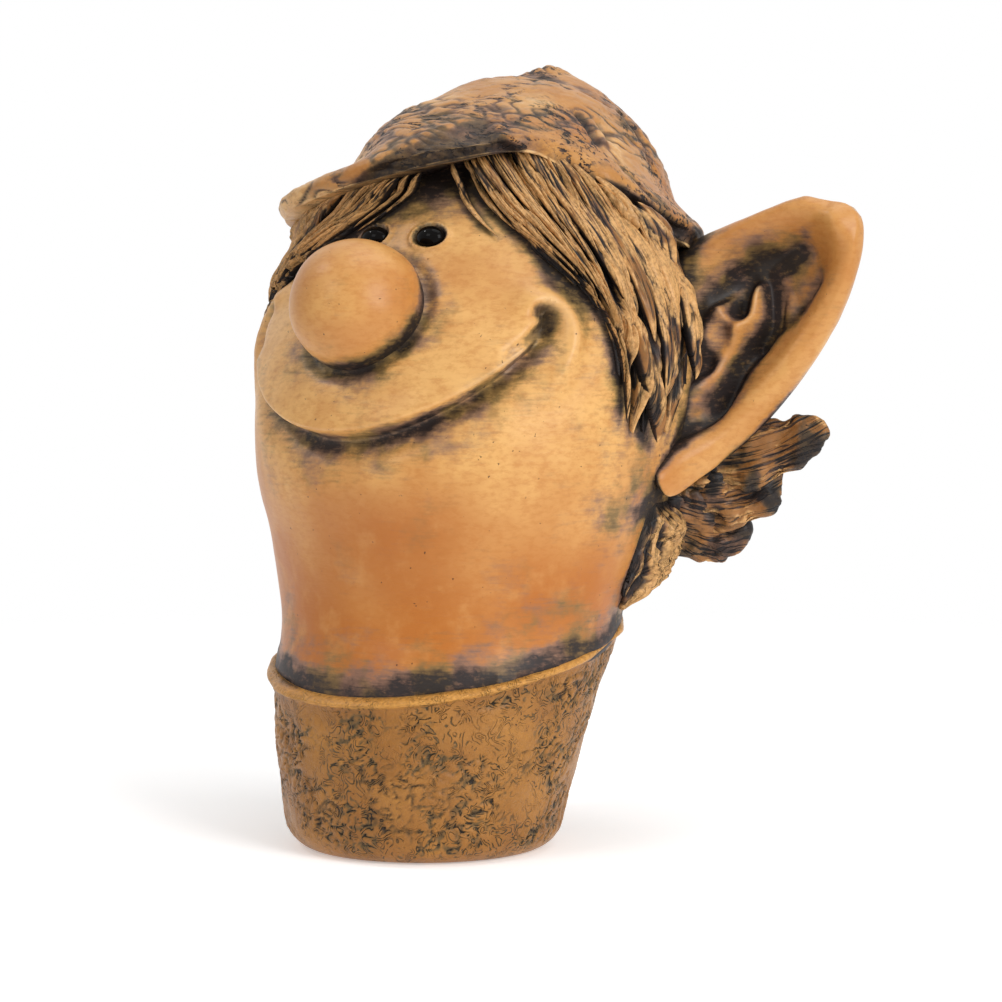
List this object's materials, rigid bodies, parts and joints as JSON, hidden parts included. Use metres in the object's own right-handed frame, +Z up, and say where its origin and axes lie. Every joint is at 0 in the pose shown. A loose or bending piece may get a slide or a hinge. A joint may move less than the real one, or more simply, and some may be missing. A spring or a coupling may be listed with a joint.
{
  "type": "tree face ornament",
  "caption": "Hollow cast elf head on a tapered round collar, with ball nose, wide smile, swept ears, cap and straw-like hair; stands on its flat base or hangs flat against a tree",
  "frame": {"origin": "centre of the collar's flat base", "axes": "+Z up, the elf faces -Y, its left side is +X; the flat back that lies against a trunk faces +Y"},
  "size_m": [0.1898, 0.1104, 0.2036],
  "materials": {
    "skin_bronze": "cold-cast resin, tan bronze paint with a dark wash rubbed back to the crevices, satin",
    "collar_bronze": "crinkled cold-cast resin, brown bronze paint with a dark wash",
    "cap_bronze": "leathery cold-cast resin, worn tan bronze paint with a dark wash",
    "hair_bronze": "combed cold-cast resin, dark wash with rubbed tan ridges",
    "eye_gloss": "glossy black bead",
    "pin_steel": "plain steel dowel"
  },
  "bodies": {
    "root": {"head_shell": "skin_bronze", "nose_ball": "skin_bronze", "left_ear": "skin_bronze", "right_ear": "skin_bronze", "collar": "collar_bronze", "cap": "cap_bronze", "left_temple_hair": "hair_bronze", "left_nape_hair": "hair_bronze", "left_neck_lock": "hair_bronze", "left_flick_1": "hair_bronze", "left_flick_2": "hair_bronze", "left_flick_3": "hair_bronze", "right_temple_hair": "hair_bronze", "right_nape_hair": "hair_bronze", "right_neck_lock": "hair_bronze", "right_flick_1": "hair_bronze", "right_flick_2": "hair_bronze", "right_flick_3": "hair_bronze", "left_eye": "eye_gloss", "right_eye": "eye_gloss", "nose_pin": "pin_steel", "left_ear_pin": "pin_steel", "right_ear_pin": "pin_steel"}
  },
  "joints": []
}
